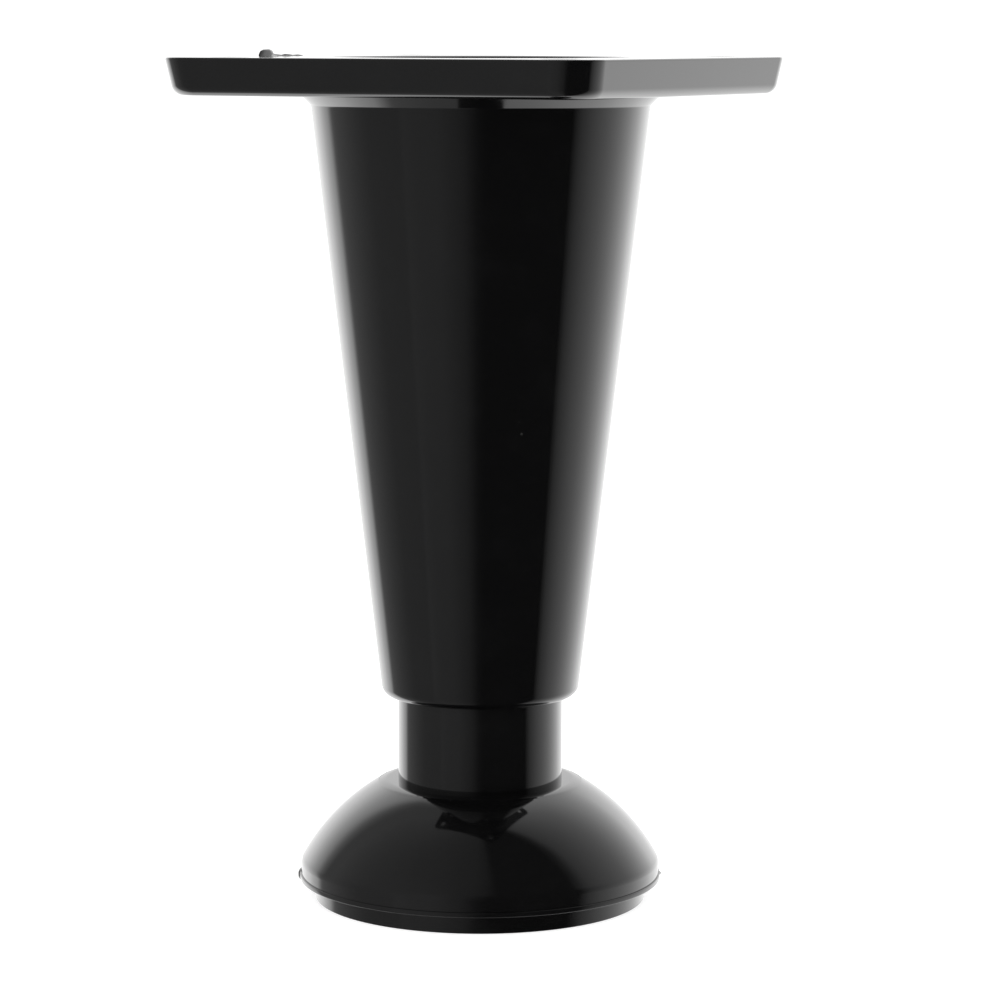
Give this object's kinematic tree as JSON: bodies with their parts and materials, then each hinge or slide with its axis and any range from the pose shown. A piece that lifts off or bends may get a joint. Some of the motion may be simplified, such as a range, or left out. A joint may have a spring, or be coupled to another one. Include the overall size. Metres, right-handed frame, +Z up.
{
  "type": "adjustable cabinet leg",
  "caption": "Black moulded cabinet leg: square screw-on plate, hollow tapered body, and a domed foot on a threaded spindle that turns to set the height.",
  "frame": {"origin": "centre of the glide's flat underside, where the leg stands on the floor", "axes": "+Z up along the leg's axis to the mounting plate, X and Y along the plate's sides"},
  "size_m": [0.0592, 0.0592, 0.1062],
  "materials": {
    "leg_moulding": "glossy jet-black injection moulding",
    "foot_moulding": "glossy jet-black injection moulding",
    "glide_moulding": "semi-gloss black injection moulding"
  },
  "bodies": {
    "leg": {"leg_body": "leg_moulding"},
    "glide": {"base_glide": "glide_moulding"},
    "foot": {"adjuster_foot": "foot_moulding"}
  },
  "joints": [
    {"name": "height_slide", "type": "slide", "parent": "leg", "child": "glide", "axis": [0, 0, -1], "range_m": [-0.0095, 0.0095]},
    {"name": "foot_turn", "type": "hinge", "parent": "glide", "child": "foot", "pos_m": [0, 0, 0], "axis": [0, 0, -1], "range_deg": [-860, 860]}
  ],
  "couplings": [
    {"joint": "foot_turn", "follows": "height_slide", "rad_per_m": 1570.8}
  ]
}
